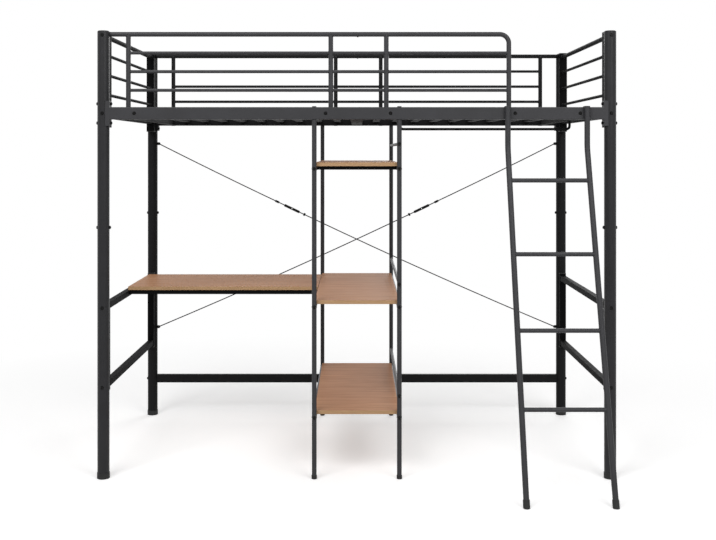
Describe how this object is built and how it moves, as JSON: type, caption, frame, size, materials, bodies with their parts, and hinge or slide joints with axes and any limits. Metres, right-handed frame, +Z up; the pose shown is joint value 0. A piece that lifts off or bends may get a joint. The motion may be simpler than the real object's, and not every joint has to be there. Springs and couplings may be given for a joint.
{
  "type": "metal loft bed",
  "caption": "Tubular steel loft bed with guard rails, slatted deck, desk board, shelf tower, tie-rod bracing and a hook-on ladder.",
  "frame": {"origin": "on the floor, at the middle of the outline that the bed makes with its ladder hooked on", "axes": "+X to the right along the bed, +Y from the ladder side to the back, +Z up"},
  "size_m": [2.084, 1.3958, 1.7891],
  "materials": {
    "frame_paint": "satin powder coat",
    "board_wood": "wood-effect board with pale edges",
    "cap_plastic": "moulded",
    "shoe_rubber": "moulded",
    "tie_steel": "plain drawn rod",
    "turnbuckle_steel": "blackened",
    "bolt_steel": "blackened, slightly glossy"
  },
  "bodies": {
    "bed_frame": {"bolt_nuts": "bolt_steel", "cross_bolts": "bolt_steel", "deck_bolts": "bolt_steel", "deck_frame_left": "frame_paint", "deck_frame_right": "frame_paint", "deck_slats": "frame_paint", "deck_spacers": "frame_paint", "desk_board": "board_wood", "desk_rails": "frame_paint", "end_panel_left": "frame_paint", "end_panel_right": "frame_paint", "foot_caps": "cap_plastic", "frame_bolts": "bolt_steel", "guard_end_left": "frame_paint", "guard_end_right": "frame_paint", "guard_front_left": "frame_paint", "guard_front_right": "frame_paint", "guard_joiners": "frame_paint", "guard_rear_left": "frame_paint", "guard_rear_right": "frame_paint", "hanging_rail": "frame_paint", "joiner_screws": "bolt_steel", "lower_post_front_left": "frame_paint", "lower_post_front_right": "frame_paint", "lower_post_rear_left": "frame_paint", "lower_post_rear_right": "frame_paint", "post_caps": "cap_plastic", "post_sleeves": "frame_paint", "rail_bolts": "bolt_steel", "rear_stretcher": "frame_paint", "shelf_board_high": "board_wood", "shelf_board_low": "board_wood", "shelf_board_mid": "board_wood", "shelf_tie": "frame_paint", "side_rail_front": "frame_paint", "side_rail_rear": "frame_paint", "tie_bolts": "bolt_steel", "tie_ferrules": "tie_steel", "tie_lock_nuts": "turnbuckle_steel", "tie_lugs": "frame_paint", "tie_rod_a_high": "tie_steel", "tie_rod_a_low": "tie_steel", "tie_rod_b_high": "tie_steel", "tie_rod_b_low": "tie_steel", "tower_bolts": "bolt_steel", "tower_feet": "cap_plastic", "tower_side_left": "frame_paint", "tower_side_right": "frame_paint", "upper_post_front_left": "frame_paint", "upper_post_front_right": "frame_paint", "upper_post_rear_left": "frame_paint", "upper_post_rear_right": "frame_paint", "upright_plugs": "cap_plastic"},
    "ladder": {"ladder_hooks": "frame_paint", "ladder_rungs": "frame_paint", "ladder_shoes": "shoe_rubber", "ladder_stile_left": "frame_paint", "ladder_stile_right": "frame_paint"},
    "turnbuckle_a": {"turnbuckle_a": "turnbuckle_steel"},
    "turnbuckle_b": {"turnbuckle_b": "turnbuckle_steel"}
  },
  "joints": [
    {"name": "ladder_lift", "type": "slide", "parent": "bed_frame", "child": "ladder", "axis": [0, 0, 1], "range_m": [0, 0.08]},
    {"name": "turnbuckle_a_turn", "type": "hinge", "parent": "bed_frame", "child": "turnbuckle_a", "pos_m": [-0.322, 0.66762, 1.02167], "axis": [0.9033, 0, -0.4291], "continuous": true},
    {"name": "turnbuckle_b_turn", "type": "hinge", "parent": "bed_frame", "child": "turnbuckle_b", "pos_m": [0.322, 0.67322, 1.02167], "axis": [-0.9033, 0, -0.4291], "continuous": true}
  ]
}
